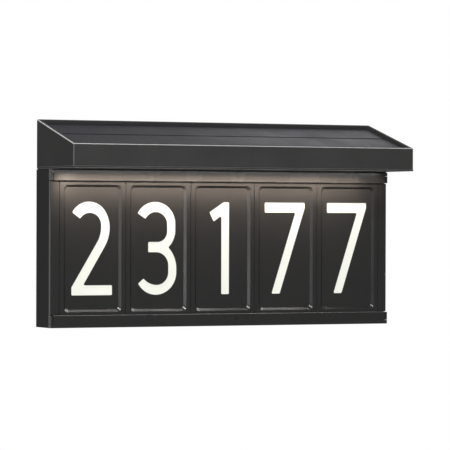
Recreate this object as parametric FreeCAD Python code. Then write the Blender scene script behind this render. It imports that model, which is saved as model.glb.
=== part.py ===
import FreeCAD, Part

import math
import os

Vector = FreeCAD.Vector

# An illuminated house number sign for a wall, in millimetres. X runs along the sign from its middle,
# Y runs into the wall from the wall's face, Z is up. Heights here are measured from the underside of
# the body; every piece is lowered at the end so that the origin is the middle of the wall screws.

# ---- Driving dimensions: the row of tiles and the body ----
numbers = [2, 3, 1, 7, 7]
tile_pitch = 76.0
end_strip_width = 10.35
tile_opening = 141.9        # height between the two rails
bottom_rail_height = 13.3
top_rail_height = 12.0
housing_depth = 35.0        # wall to the face behind the tiles
housing_wall = 2.4
housing_front = 2.0
edge_round = 0.8

# ---- Rails, tiles, end strips and caps ----
rail_flange = 4.0
rail_lip = 2.1
tile_thickness = 4.4
tile_gap = 0.3              # between one tile and the next
tile_back_gap = 0.2
lip_gap = 0.3               # tile's face to the back of the rail's lip
tile_foot_gap = 0.1
tile_grip = 5.0             # how far the tile's top stands inside the top rail
tile_border = 4.9
tile_top_border = 4.3
tile_bottom_border = 3.3
dish_slope = 2.4            # width of the sloped wall round the dished face
dish_depth = 2.4
dish_corner = 4.2
tile_edge_round = 0.5
numeral_height = 99.2
numeral_drawn_height = 100.0
numeral_corner = 1.2
numeral_sharpest_bend = 50.0 # degrees; a sharper corner than this is rounded
numeral_recess = 0.5        # numeral's face behind the dished face
cap_thickness = 2.4
cap_stand = 0.3             # cap's outer face beyond the body
cap_seam = 0.6
cap_fit = 0.3
cap_round = 0.7
plug_length = 2.5
plug_fit = 0.15
strip_inset = 0.2
rail_round = 0.7
peg_count = 5
peg_radius = 1.5
peg_length = 5.0
peg_fit = 0.05
peg_inset = 30.0
corner_rib = 6.0

# ---- Canopy ----
canopy_seam = 0.6           # gasket between the body and the canopy
seam_setback = 0.8          # gasket's edge in from the canopy's
seam_ring_width = 4.0
canopy_inset = 0.4
canopy_depth = 101.7
fascia_height = 25.0        # underside to the front lip
roof_rise = 27.7            # front lip to the back edge
canopy_wall = 2.4
canopy_base_thickness = 1.8
canopy_round = 1.2
shell_edge_round = 0.3
base_edge_round = 0.4
lip_width = 4.0
panel_recess = 2.8
roof_floor = 2.0
glass_thickness = 2.0
cell_thickness = 0.4
backsheet_thickness = 0.8
seal_thickness = 1.0
seal_width = 5.0
panel_fit = 0.3
cell_margin = 3.0
cell_gap = 1.2
cell_rows = 2
cells_per_row = 9
base_boss_radius = 3.5
base_boss_inset = 6.5
screw_radius = 1.5
pilot_fit = 0.05
screw_head_radius = 2.8
screw_head_height = 1.2
base_screw_length = 8.0

# ---- Downlight under the canopy ----
downlight_length = 388.0
downlight_slot = 10.0
downlight_ahead = 15.0      # middle of the slot ahead of the rails
lens_recess = 0.9
lens_flange = 2.0
lens_flange_thickness = 1.0
lens_fit = 0.1
downlight_board_width = 9.0
downlight_board_height = 8.0
board_thickness = 1.2
led_size = 3.4
led_height = 0.8
downlight_led_count = 12
led_end_margin = 10.0
post_length = 4.0

# ---- Battery, control board and button in the canopy ----
battery_radius = 9.2
battery_length = 65.0
battery_count = 2
battery_gap = 1.0
battery_fit = 0.3
battery_middle_x = 100.0
battery_ahead = 36.0        # cell axis ahead of the rails
holder_wall = 1.4
holder_height = 13.0
contact_thickness = 0.5
contact_size = 12.0
contact_spring_radius = 4.0
contact_spring_length = 3.0
holder_foot = 4.0
door_sink = 0.9             # depth of the door's rebate in the canopy base
door_lap = 3.0
door_fit = 0.3
door_travel = 8.0
tongue_count = 3
tongue_length = 6.0
tongue_reach = 2.0
tongue_thickness = 1.0
tongue_inset = 20.0
control_length = 62.0
control_width = 26.0
control_thickness = 1.6
control_middle_x = -118.0
control_ahead = 40.0
control_height = 8.6        # board's underside above the canopy base
button_radius = 6.0
button_fit = 0.2
button_recess = 0.4
button_flange = 1.5
button_flange_thickness = 1.0
button_height = 4.0
button_travel = 1.2
button_offset_x = -16.0
switch_size = 6.2
switch_height = 3.5
switch_cap = 1.0
leg_size = 3.0
plunger_radius = 1.7
plunger_fit = 0.06

# ---- Inside the housing ----
window_side = 11.5          # housing's side to the light window
window_border = 3.0         # light window's edge beyond the rails' edges
diffuser_thickness = 3.0
diffuser_lap = 2.0
rear_room = 7.4             # backlight board to the back cover
light_box_wall = 1.2
backlight_board_thickness = 1.6
led_column_pitch = 34.0
led_row_pitch = 66.0
cover_hook_gap = 1.4        # bracket hook to the cover
cover_thickness = 2.0
cover_fit = 0.3
gasket_thickness = 1.0
gasket_width = 2.6
ledge_width = 3.0
ledge_thickness = 2.0
boss_radius = 3.3
boss_inset = 3.3            # boss's edge in from the housing's inner walls
boss_columns = 4
cover_screw_length = 10.0
lead_hole_radius = 2.5
lead_radius = 0.9
lead_fit = 0.3
lead_rise = 8.0
lead_row_inset = 2.0        # row of lead ends in from the control board's edge
solar_lead_offset = -24.0   # lead ends along the control board, from its middle
downlight_lead_offset = -8.0
backlight_lead_offset = 18.0
board_plug_offset = 25.5
board_plug_width = 7.0
board_plug_height = 4.0
connector_size = 6.0
connector_depth = 3.8
connector_drop = 8.0        # connector's top below the backlight board's top
canopy_screw_length = 9.0
canopy_boss_height = 7.0
canopy_screw_spacing = 100.0
canopy_screw_setback = 18.0

# ---- Wall bracket ----
bracket_length = 200.0
bracket_height = 36.0
bracket_thickness = 1.5
bracket_middle = 80.0       # middle of the wall screws above the underside of the body
bracket_corner = 5.0
wall_hole_radius = 2.5
wall_hole_spacing_x = 160.0
wall_hole_spacing_z = 20.0
hook_width = 36.0
hook_spacing = 120.0
hanger_lip = 1.0
hook_rise = 6.0
hook_fit = 0.3
hang_gap = 0.05
hanger_extra = 2.0
shelf_thickness = 3.0

# ---- Sizes worked out from those above ----
tile_count = len(numbers)
body_half = tile_count * tile_pitch / 2 + end_strip_width
row_half = tile_count * tile_pitch / 2
body_height = bottom_rail_height + tile_opening + top_rail_height
top_rail_bottom = bottom_rail_height + tile_opening
housing_face = -housing_depth
rail_stand = tile_back_gap + tile_thickness + lip_gap + rail_lip
rail_face = housing_face - rail_stand
tile_back = housing_face - tile_back_gap
tile_face = tile_back - tile_thickness
dish_floor = tile_face + dish_depth
lip_back = rail_face + rail_lip
tile_bottom = rail_flange + tile_foot_gap
tile_top = top_rail_bottom + tile_grip
groove_end = body_half + cap_stand - cap_thickness - cap_seam
plug_end = groove_end - plug_length
canopy_bottom = body_height + canopy_seam
base_top = canopy_bottom + canopy_base_thickness
front_lip = canopy_bottom + fascia_height
back_lip = front_lip + roof_rise
canopy_half = body_half - canopy_inset
roof_angle = math.atan2(roof_rise, canopy_depth)
roof_length = canopy_depth / math.cos(roof_angle)
panel_stack = glass_thickness + cell_thickness + backsheet_thickness + seal_thickness
downlight_y = rail_face - downlight_ahead
battery_y = rail_face - battery_ahead
control_y = rail_face - control_ahead
hook_reach = 2 * bracket_thickness + 2 * hook_fit + hanger_lip
cover_setback = hook_reach + cover_hook_gap
inner_back = -(cover_setback + cover_thickness)
board_back = inner_back - rear_room
light_box_back = board_back - backlight_board_thickness
lead_hole_setback = -(board_back + connector_depth / 2)
inside_half = body_half - housing_wall
inside_bottom = housing_wall
inside_top = body_height - housing_wall


# ---- Small tools ----
def block(x, y, z):
    """A box between two values on each axis."""
    corner = Vector(min(x), min(y), min(z))
    return Part.makeBox(abs(x[1] - x[0]), abs(y[1] - y[0]), abs(z[1] - z[0]), corner)


def rod(radius, start, direction, length):
    """A round bar from a start point."""
    return Part.makeCylinder(radius, length, Vector(*start), Vector(*direction))


def join(shapes):
    """One solid made of several that meet."""
    first = shapes[0]
    return first.fuse(shapes[1:]).removeSplitter() if len(shapes) > 1 else first


def profile_along_x(points, half_length):
    """A bar with the given outline in Y and Z, as long each way from the middle."""
    corners = [Vector(-half_length, y, z) for y, z in points]
    face = Part.Face(Part.makePolygon(corners + corners[:1]))
    return face.extrude(Vector(2 * half_length, 0, 0))


def round_edges(shape, radius, chosen):
    """Rounds the straight edges for which chosen(middle, direction) is true."""
    edges = []
    for edge in shape.Edges:
        if not edge.Degenerated and isinstance(edge.Curve, Part.Line):
            start, end = edge.Vertexes[0].Point, edge.Vertexes[-1].Point
            if chosen((start + end) * 0.5, (end - start).normalize()):
                edges.append(edge)
    return shape.makeFillet(radius, edges)


def rounded_rectangle(x, z, corner, y):
    """A closed outline with round corners, flat at one Y."""
    half_turn = corner * (1 - math.sqrt(0.5))
    x0, x1 = x
    z0, z1 = z
    sides = [
        ((x0 + corner, z0), (x1 - corner, z0), (x1 - half_turn, z0 + half_turn)),
        ((x1, z0 + corner), (x1, z1 - corner), (x1 - half_turn, z1 - half_turn)),
        ((x1 - corner, z1), (x0 + corner, z1), (x0 + half_turn, z1 - half_turn)),
        ((x0, z1 - corner), (x0, z0 + corner), (x0 + half_turn, z0 + half_turn)),
    ]
    edges = []
    for k, (start, end, bend) in enumerate(sides):
        after = sides[(k + 1) % len(sides)][0]
        start, end, bend, after = (Vector(px, y, pz) for px, pz in (start, end, bend, after))
        edges.append(Part.LineSegment(start, end).toShape())
        edges.append(Part.Arc(end, bend, after).toShape())
    return Part.Wire(edges)


def rounded_plate(x, y, z, corner):
    """A flat plate facing along Y, with round corners."""
    face = Part.Face(rounded_rectangle(x, z, corner, min(y)))
    return face.extrude(Vector(0, abs(y[1] - y[0]), 0))


def roof_block(x, along, above):
    """A box laid on the roof: along runs from the back edge down the slope, above is square to it."""
    shape = block(x, (-along[1], -along[0]), above)
    shape.rotate(Vector(0, 0, 0), Vector(1, 0, 0), math.degrees(roof_angle))
    shape.translate(Vector(0, 0, back_lip))
    return shape


def roof_height(y, below):
    """Height of the plane that lies the given distance under the roof, at one Y."""
    return back_lip + y * math.tan(roof_angle) - below / math.cos(roof_angle)


def lead(points):
    """An insulated wire: straight runs joined by arcs as large as the runs allow."""
    points = [Vector(*p) for p in points]
    edges = []
    at = points[0]
    for before, here, after in zip(points, points[1:], points[2:]):
        way_in = (here - before).normalize()
        way_out = (after - here).normalize()
        half = way_in.getAngle(way_out) / 2
        reach = 0.45 * min((here - before).Length, (after - here).Length)
        radius = reach / math.tan(half)
        start = here - way_in * reach
        end = here + way_out * reach
        inward = (way_out - way_in).normalize()
        bend = here + inward * (radius / math.cos(half) - radius)
        edges.append(Part.LineSegment(at, start).toShape())
        edges.append(Part.Arc(start, bend, end).toShape())
        at = end
    edges.append(Part.LineSegment(at, points[-1]).toShape())
    path = Part.Wire(edges)
    ring = Part.Wire(Part.makeCircle(lead_radius, points[0], points[1] - points[0]))
    return path.makePipeShell([ring], True, True)


def screw(head_at, direction, length):
    """A pan head screw; its head stands on head_at and its shank follows the direction."""
    way = Vector(*direction)
    base = Vector(*head_at)
    head = Part.makeCylinder(screw_head_radius, screw_head_height, base, way * -1)
    shank = Part.makeCylinder(screw_radius, length, base, way)
    return head.fuse(shank).removeSplitter()


def around(middle, half):
    """The span that reaches the same way each side of a middle."""
    return middle - half, middle + half


def grown(span, by):
    """A span made longer at both ends."""
    return span[0] - by, span[1] + by


def spread(count, half):
    """Evenly spaced places from -half to half."""
    return [-half + 2 * half * k / (count - 1) for k in range(count)]


# ---- Numerals: outlines drawn 100 high round their own middle, then scaled ----
def on_circle(centre, radius, degrees):
    angle = math.radians(degrees)
    return (centre[0] + radius * math.cos(angle), centre[1] + radius * math.sin(angle))


def outline(start, steps):
    """A closed outline: each step is an end point, or a point to pass through and an end point."""
    unit = numeral_height / numeral_drawn_height
    edges = []
    at = start
    for step in steps + [(start,)]:
        points = [Vector(x * unit, 0, z * unit) for x, z in (at,) + step]
        curve = Part.LineSegment(*points) if len(points) == 2 else Part.Arc(*points)
        edges.append(curve.toShape())
        at = step[-1]
    return Part.Face(Part.Wire(edges))


def numeral_one():
    stem_left, stem_right, top = -0.6, 8.8, 50.0
    flag = [(2.0, top), (-15.0, 39.0), (-9.9, 28.9), (stem_left, 35.3)]
    return outline((stem_right, top), [(p,) for p in flag + [(stem_left, -top), (stem_right, -top)]])


def numeral_two():
    crown, crown_radius = (-3.2, 27.5), 22.4
    shoulder, shoulder_radius = (-10.6, 22.5), 31.3
    counter, counter_radius = (-2.4, 24.9), 13.0
    neck, neck_radius, neck_inside = (-19.4, 22.5), 40.1, 30.0
    half_width, foot_top, bottom = 23.5, -39.4, -50.0
    slant = -31.4
    return outline(on_circle(crown, crown_radius, 151), [
        (on_circle(crown, crown_radius, 90), on_circle(crown, crown_radius, 41.3)),
        (on_circle(shoulder, shoulder_radius, 20), on_circle(shoulder, shoulder_radius, 0)),
        (on_circle(neck, neck_radius, slant / 2), on_circle(neck, neck_radius, slant)),
        ((-10.0, foot_top),),
        ((half_width, foot_top),),
        ((half_width, bottom),),
        ((-half_width, bottom),),
        ((-half_width, -41.5),),
        (on_circle(neck, neck_inside, slant),),
        (on_circle(neck, neck_inside, slant / 2), on_circle(neck, neck_inside, 0)),
        (on_circle(counter, counter_radius, 0),),
        (on_circle(counter, counter_radius, 80), on_circle(counter, counter_radius, 149)),
    ])


def numeral_three():
    bowl, bowl_radius = (-2.7, 26.2), 23.8
    counter, counter_radius = (-2.1, 25.7), 13.4
    belly, belly_radius = (-1.8, -25.8), 24.2
    hollow, hollow_radius = (-0.9, -25.9), 13.6
    waist = (12.9, 1.0)
    bar_left, bar_top, bar_bottom = -11.0, 6.8, -4.2
    shoulder, shoulder_radius = (0.0, 18.1), 11.3
    hip, hip_radius = (-1.6, -18.5), 14.3
    return outline(on_circle(bowl, bowl_radius, 151), [
        (on_circle(bowl, bowl_radius, 80), on_circle(bowl, bowl_radius, 0)),
        ((21.1, 17.8),),
        ((18.3, 8.1), waist),
        ((19.4, -8.3), (22.4, -19.9)),
        (on_circle(belly, belly_radius, 0),),
        (on_circle(belly, belly_radius, -80), on_circle(belly, belly_radius, -150)),
        ((-16.3, -32.4),),
        ((-9.5, -37.6), on_circle(hollow, hollow_radius, -95)),
        (on_circle(hollow, hollow_radius, -50), on_circle(hollow, hollow_radius, 0)),
        (on_circle(hip, hip_radius, 0),),
        (on_circle(hip, hip_radius, 45), on_circle(hip, hip_radius, 90)),
        ((bar_left, bar_bottom),),
        ((bar_left, bar_top),),
        (on_circle(shoulder, shoulder_radius, -90),),
        (on_circle(shoulder, shoulder_radius, -45), on_circle(shoulder, shoulder_radius, 0)),
        (on_circle(counter, counter_radius, 0),),
        (on_circle(counter, counter_radius, 80), on_circle(counter, counter_radius, 154)),
    ])


def numeral_seven():
    half_width, top, bar_bottom = 24.6, 50.0, 38.9
    points = [(half_width, top), (half_width, 44.1), (-6.0, -top), (-16.2, -top),
              (12.8, bar_bottom), (-half_width, bar_bottom)]
    return outline((-half_width, top), [(p,) for p in points])


drawings = {1: numeral_one, 2: numeral_two, 3: numeral_three, 7: numeral_seven}


def is_corner(solid, edge):
    """True for an upright edge between two faces of a numeral that meet at a real angle."""
    if edge.Degenerated or not isinstance(edge.Curve, Part.Line):
        return False
    start, end = edge.Vertexes[0].Point, edge.Vertexes[-1].Point
    if abs(end.y - start.y) < (end - start).Length - 0.01:
        return False
    middle = (start + end) * 0.5
    normals = [face.normalAt(*face.Surface.parameter(middle))
               for face in solid.ancestorsOfType(edge, Part.Face)]
    return normals[0].getAngle(normals[1]) > math.radians(numeral_sharpest_bend)


def numeral_solid(number, middle_x, back, front):
    """The numeral as a solid between two values of Y, with rounded corners."""
    solid = drawings[number]().extrude(Vector(0, front - back, 0))
    solid = solid.makeFillet(numeral_corner, [edge for edge in solid.Edges if is_corner(solid, edge)])
    solid.translate(Vector(middle_x, back, numeral_middle))
    return solid


dish_bottom = bottom_rail_height + tile_bottom_border
dish_top = top_rail_bottom - tile_top_border
numeral_middle = (dish_bottom + dish_top) / 2


# ---- Number tiles and their numerals ----
def tile_span(k):
    left = -row_half + k * tile_pitch
    return left + tile_gap / 2, left + tile_pitch - tile_gap / 2


def number_tile(k):
    """A moulded tile with a dished face, cut through for its numeral."""
    left, right = tile_span(k)
    body = block((left, right), (tile_face, tile_back), (tile_bottom, tile_top))
    body = round_edges(body, tile_edge_round,
                       lambda at, way: abs(at.y - tile_face) < 0.01 and abs(way.z) > 0.9)
    rim_x = (left + tile_border, right - tile_border)
    floor_x = (rim_x[0] + dish_slope, rim_x[1] - dish_slope)
    floor_z = (dish_bottom + dish_slope, dish_top - dish_slope)
    rim = rounded_rectangle(rim_x, (dish_bottom, dish_top), dish_corner, tile_face)
    floor = rounded_rectangle(floor_x, floor_z, dish_corner, dish_floor)
    dish = Part.makeLoft([rim, floor], True, True)
    window = numeral_solid(numbers[k], (left + right) / 2, tile_back + 1, dish_floor - 1)
    return body.cut(dish).cut(window)


def numeral(k):
    """An opal numeral let into its tile, a little behind the dished face."""
    left, right = tile_span(k)
    return numeral_solid(numbers[k], (left + right) / 2, tile_back, dish_floor + numeral_recess)


# ---- End strips and rail caps, made for the right and mirrored for the left ----
def end_strip():
    """A plain filler at the end of the row, with a tongue in each rail."""
    left = row_half + tile_gap / 2
    right = body_half - strip_inset
    side = (tile_back, tile_face)
    face = block((left, right), side, (bottom_rail_height + cap_fit, top_rail_bottom - cap_fit))
    face = round_edges(face, tile_edge_round,
                       lambda at, way: abs(at.y - tile_face) < 0.01 and abs(way.z) > 0.9)
    tongue = block((left + tile_edge_round, plug_end - plug_fit), side, (tile_bottom, tile_top))
    return join([face, tongue])


def rail_cap(low, high):
    """A cap that closes a rail's end, with a plug that fills the mouth of its groove."""
    inner = body_half + cap_stand - cap_thickness
    outer = body_half + cap_stand
    head = block((inner, outer), (rail_face, tile_back), (low, high))
    head = round_edges(head, cap_round, lambda at, way: abs(at.x - outer) < 0.01)
    plug = block((plug_end, inner), (lip_back + plug_fit, tile_back), (low + cap_fit, high - cap_fit))
    return join([head, plug])


# ---- Rails ----
def rail(flange_outer, flange_inner, lip_end):
    """A rail with a flange against the housing and a lip in front of the tiles."""
    rail_middle = (flange_outer + flange_inner) / 2
    flange = block((-body_half, body_half), (rail_face, housing_face), (flange_outer, flange_inner))
    lip = block((-groove_end, groove_end), (rail_face, lip_back), (flange_outer, lip_end))
    shape = join([flange, lip])
    shape = round_edges(shape, rail_round, lambda at, way: abs(at.y - rail_face) < 0.01
                        and abs(way.x) > 0.9 and min(abs(at.z - flange_outer), abs(at.z - lip_end)) < 0.01)
    pegs = [rod(peg_radius, (x, housing_face, rail_middle), (0, 1, 0), peg_length)
            for x in spread(peg_count, body_half - peg_inset)]
    return join([shape] + pegs)


def bottom_rail():
    return rail(0, rail_flange, bottom_rail_height)


def top_rail():
    return rail(body_height, body_height - rail_flange, top_rail_bottom)


# ---- Housing ----
def cover_screw_places():
    low = inside_bottom + boss_radius + boss_inset
    high = inside_top - boss_radius - boss_inset
    side = inside_half - boss_radius - boss_inset
    return [(x, z) for x in spread(boss_columns, side) for z in (low, high)]


def canopy_screw_places():
    return [canopy_screw_spacing * (k - 1.5) for k in range(4)]


def housing():
    """A moulded box, open to the wall, with a light window behind the tiles."""
    shell = block((-body_half, body_half), (housing_face, 0), (0, body_height))
    shell = round_edges(shell, edge_round,
                        lambda at, way: abs(at.y - housing_face) < 0.01 and abs(way.z) > 0.9)
    inner_front = housing_face + housing_front
    cavity = block((-inside_half, inside_half), (inner_front, 1), (inside_bottom, inside_top))
    ledge_y = (inner_back - gasket_thickness - ledge_thickness, inner_back - gasket_thickness)
    ledge = block((-inside_half, inside_half), ledge_y, (inside_bottom, inside_top))
    ledge = ledge.cut(block((-inside_half + ledge_width, inside_half - ledge_width), ledge_y,
                            (inside_bottom + ledge_width, inside_top - ledge_width)))
    rib_y = (inner_front, inner_front + corner_rib - housing_front)
    ribs = [block((-inside_half, inside_half), rib_y, (inside_bottom, corner_rib)),
            block((-inside_half, inside_half), rib_y, (body_height - corner_rib, inside_top))]
    bosses = [rod(boss_radius, (x, inner_front, z), (0, 1, 0), inner_back - inner_front)
              for x, z in cover_screw_places()]
    roof_bosses = [rod(boss_radius, (x, -canopy_screw_setback, inside_top), (0, 0, -1), canopy_boss_height)
                   for x in canopy_screw_places()]
    shell = shell.cut(cavity.cut([ledge] + ribs + bosses + roof_bosses))
    window = block((-body_half + window_side, body_half - window_side),
                   (housing_face - 1, inner_front + 1),
                   (bottom_rail_height + window_border, top_rail_bottom - window_border))
    pilots = [rod(screw_radius + pilot_fit, (x, inner_back + 1, z), (0, -1, 0), cover_screw_length)
              for x, z in cover_screw_places()]
    roof_pilots = [rod(screw_radius + pilot_fit, (x, -canopy_screw_setback, body_height + 1), (0, 0, -1),
                       canopy_screw_length) for x in canopy_screw_places()]
    peg_holes = [rod(peg_radius + peg_fit, (x, housing_face, z), (0, 1, 0), peg_length + peg_fit)
                 for x in spread(peg_count, body_half - peg_inset)
                 for z in (rail_flange / 2, body_height - rail_flange / 2)]
    lead_hole = rod(lead_hole_radius, (backlight_lead_x, -lead_hole_setback, inside_top - 1), (0, 0, 1),
                    housing_wall + 2)
    return shell.cut([window] + pilots + roof_pilots + peg_holes + [lead_hole])


# ---- Light box behind the tiles ----
window_x = (-body_half + window_side, body_half - window_side)
window_z = (bottom_rail_height + window_border, top_rail_bottom - window_border)
diffuser_front = housing_face + housing_front
diffuser_back = diffuser_front + diffuser_thickness


light_box_x = grown(window_x, diffuser_lap)
light_box_z = grown(window_z, diffuser_lap)
connector_top = light_box_z[1] - connector_drop


def diffuser():
    """An opal sheet that closes the light window from inside."""
    return block(light_box_x, (diffuser_front, diffuser_back), light_box_z)


def reflector_frame():
    """A white frame that makes one light cell behind each tile."""
    depth = (diffuser_back, light_box_back)
    frame = block(light_box_x, depth, light_box_z)
    edges = [-row_half + k * tile_pitch for k in range(1, tile_count)]
    edges = [light_box_x[0]] + edges + [light_box_x[1]]
    cells = []
    for k in range(tile_count):
        low = edges[k] + (light_box_wall if k == 0 else light_box_wall / 2)
        high = edges[k + 1] - (light_box_wall if k == tile_count - 1 else light_box_wall / 2)
        cells.append(block((low, high), depth, grown(light_box_z, -light_box_wall)))
    return frame.cut(cells)


def backlight_board():
    """The light box's back: a white board that carries the LEDs, with a connector on its back."""
    board = block(light_box_x, (light_box_back, board_back), light_box_z)
    connector = block(around(backlight_lead_x, connector_size / 2),
                      (board_back, board_back + connector_depth),
                      (connector_top - connector_size, connector_top))
    return join([board, connector])


def backlight_leds():
    """Four LEDs in each light cell, facing the tile."""
    leds = []
    for k in range(tile_count):
        middle = -row_half + (k + 0.5) * tile_pitch
        for x in around(middle, led_column_pitch / 2):
            for z in around(numeral_middle, led_row_pitch / 2):
                leds.append(block(around(x, led_size / 2), (light_box_back - led_height, light_box_back),
                                  around(z, led_size / 2)))
    return Part.makeCompound(leds)


# ---- Back cover, its gasket and screws, and the wall bracket ----
bracket_top = bracket_middle + bracket_height / 2
hook_top = bracket_top + hook_rise


def hanger(middle_x):
    """A shelf on the back cover with a lip that drops behind a bracket hook."""
    half = hook_width / 2 + hanger_extra
    lip_y = (-hook_reach + bracket_thickness + hook_fit, -bracket_thickness - hook_fit)
    shelf_bottom = hook_top + hook_fit + hanger_extra
    shelf = block((middle_x - half, middle_x + half), (-cover_setback, lip_y[1]),
                  (shelf_bottom, shelf_bottom + shelf_thickness))
    lip = block((middle_x - half, middle_x + half), lip_y, (bracket_top + hang_gap, shelf_bottom))
    return [shelf, lip]


def back_cover():
    """The plate that closes the housing, with the two hangers that carry the sign."""
    plate = block((-inside_half + cover_fit, inside_half - cover_fit), (inner_back, -cover_setback),
                  (inside_bottom + cover_fit, inside_top - cover_fit))
    holes = [rod(screw_radius + pilot_fit, (x, inner_back - 1, z), (0, 1, 0), cover_thickness + 2)
             for x, z in cover_screw_places()]
    return join([plate] + hanger(-hook_spacing / 2) + hanger(hook_spacing / 2)).cut(holes)


def back_gasket():
    """A rubber ring between the ledge in the housing and the back cover."""
    x = (-inside_half + cover_fit, inside_half - cover_fit)
    z = (inside_bottom + cover_fit, inside_top - cover_fit)
    y = (inner_back - gasket_thickness, inner_back)
    return block(x, y, z).cut(block(grown(x, -gasket_width), y, grown(z, -gasket_width)))


def back_screws():
    return Part.makeCompound([screw((x, -cover_setback, z), (0, -1, 0), cover_screw_length)
                              for x, z in cover_screw_places()])


def wall_bracket():
    """A bent steel plate that is screwed to the wall; its two hooks carry the sign."""
    low = bracket_middle - bracket_height / 2
    plate = rounded_plate((-bracket_length / 2, bracket_length / 2), (-bracket_thickness, 0),
                          (low, bracket_top), bracket_corner)
    pieces = [plate]
    for middle in (-hook_spacing / 2, hook_spacing / 2):
        x = (middle - hook_width / 2, middle + hook_width / 2)
        pieces.append(block(x, (-hook_reach, 0), (bracket_top - bracket_thickness, bracket_top)))
        pieces.append(block(x, (-hook_reach, -hook_reach + bracket_thickness), (bracket_top, hook_top)))
    holes = [rod(wall_hole_radius, (x, -bracket_thickness - 1, bracket_middle + z), (0, 1, 0),
                 bracket_thickness + 2)
             for x in (-wall_hole_spacing_x / 2, wall_hole_spacing_x / 2)
             for z in (-wall_hole_spacing_z / 2, wall_hole_spacing_z / 2)]
    return join(pieces).cut(holes)


# ---- Canopy ----
roof_inward = (0, math.sin(roof_angle), -math.cos(roof_angle))


def base_screw_places():
    half = canopy_half - base_boss_inset
    return [(x, y) for x in spread(4, half) for y in (-base_boss_inset, -canopy_depth + base_boss_inset)]


def canopy_shell():
    """The canopy: sloped ends, a front fascia, and a shallow tray in the roof for the solar panel."""
    sides = [(0, base_top), (-canopy_depth, base_top), (-canopy_depth, front_lip), (0, back_lip)]
    shell = profile_along_x(sides, canopy_half)
    shell = round_edges(shell, canopy_round, lambda at, way: at.z > base_top + 1 and at.y < -0.01
                        and (at.y < -canopy_depth + 0.01 or abs(at.x) > canopy_half - 0.01))
    shell = round_edges(shell, shell_edge_round, lambda at, way: at.z < base_top + 0.01 and at.y < -0.01)
    tray = roof_block((-canopy_half + lip_width, canopy_half - lip_width),
                      (lip_width, roof_length - lip_width), (-panel_recess - panel_stack, panel_recess))
    under = panel_recess + panel_stack + roof_floor
    back, front = -canopy_wall, -canopy_depth + canopy_wall
    cavity = profile_along_x([(back, base_top - 1), (front, base_top - 1),
                              (front, roof_height(front, under)), (back, roof_height(back, under))],
                             canopy_half - canopy_wall)
    bosses = [rod(base_boss_radius, (x, y, base_top), (0, 0, 1), roof_rise + fascia_height)
              for x, y in base_screw_places()]
    pilots = [rod(screw_radius + pilot_fit, (x, y, base_top - 1), (0, 0, 1), base_screw_length)
              for x, y in base_screw_places()]
    lead_hole = rod(lead_radius + lead_fit, solar_lead_start(), roof_inward, panel_stack)
    return shell.cut([tray, cavity.cut(bosses)]).cut(pilots + [lead_hole])


def canopy_base():
    """The plate that closes the canopy from below; it holds the downlight, battery and button."""
    through = (canopy_bottom - 1, base_top + 1)
    plate = block((-canopy_half, canopy_half), (-canopy_depth, 0), (canopy_bottom, base_top))
    plate = round_edges(plate, base_edge_round, lambda at, way: at.z < canopy_bottom + 0.01
                        and at.y < -0.01)
    slot = block((-downlight_length / 2, downlight_length / 2),
                 (downlight_y - downlight_slot / 2, downlight_y + downlight_slot / 2), through)
    door_x, door_y = door_opening()
    opening = block(door_x, door_y, through)
    rebate = block((door_x[0] - door_lap, door_x[1] + door_lap + door_travel), grown(door_y, door_lap),
                   (canopy_bottom - 1, canopy_bottom + door_sink))
    notches = [block(around(x + door_travel, tongue_length / 2 + door_fit),
                     grown(door_y, tongue_reach + door_fit), through) for x in tongue_places()]
    holes = [(button_radius + button_fit, button_x, control_y),
             (lead_hole_radius, backlight_lead_x, -lead_hole_setback)]
    holes += [(screw_radius + pilot_fit, x, y) for x, y in base_screw_places()]
    holes += [(screw_radius + pilot_fit, x, -canopy_screw_setback) for x in canopy_screw_places()]
    pockets = [rod(radius, (x, y, canopy_bottom - 1), (0, 0, 1), canopy_base_thickness + 2)
               for radius, x, y in holes]
    pockets += [rod(screw_head_radius + pilot_fit, (x, y, canopy_bottom - 1), (0, 0, 1),
                    screw_head_height + 1) for x, y in base_screw_places()]
    plate = plate.cut([slot, opening, rebate] + notches + pockets)
    legs = [block(around(x, leg_size / 2), around(y, leg_size / 2), (base_top, base_top + control_height))
            for x, y in control_legs()]
    return join([plate] + legs + downlight_posts())


def downlight_posts():
    """Posts beside the slot, each with a shelf that the downlight board lies on."""
    shelf_top = base_top + downlight_board_height
    outer = downlight_slot / 2 + lens_flange + lens_fit
    shelf_end = downlight_board_width / 2 - 1
    posts = []
    for x in spread(4, downlight_length / 2 - post_length):
        span = around(x, post_length / 2)
        for side in (-1, 1):
            inner_y = downlight_y + side * outer
            posts.append(block(span, (inner_y, inner_y + side * post_length / 2),
                               (base_top, shelf_top + board_thickness)))
            posts.append(block(span, (inner_y, downlight_y + side * shelf_end),
                               (shelf_top - post_length / 2, shelf_top)))
    return posts


def canopy_screws():
    """Screws that close the canopy base, their heads sunk in its underside."""
    return Part.makeCompound([screw((x, y, canopy_bottom + screw_head_height), (0, 0, 1),
                                    base_screw_length - screw_head_height - 1)
                              for x, y in base_screw_places()])


def canopy_gasket():
    """A rubber ring that fills the seam between the body and the canopy, close to its edge."""
    x = (-canopy_half + seam_setback, canopy_half - seam_setback)
    y = (rail_face + seam_setback, -seam_setback)
    z = (body_height, canopy_bottom)
    return block(x, y, z).cut(block(grown(x, -seam_ring_width), grown(y, -seam_ring_width), z))


def joining_screws():
    """Screws that hold the canopy on the housing, driven from inside the canopy."""
    return Part.makeCompound([screw((x, -canopy_screw_setback, base_top), (0, 0, -1),
                                    canopy_screw_length) for x in canopy_screw_places()])


# ---- Solar panel ----
def tray_span(fit):
    x = (-canopy_half + lip_width + fit, canopy_half - lip_width - fit)
    along = (lip_width + fit, roof_length - lip_width - fit)
    return x, along


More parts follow.
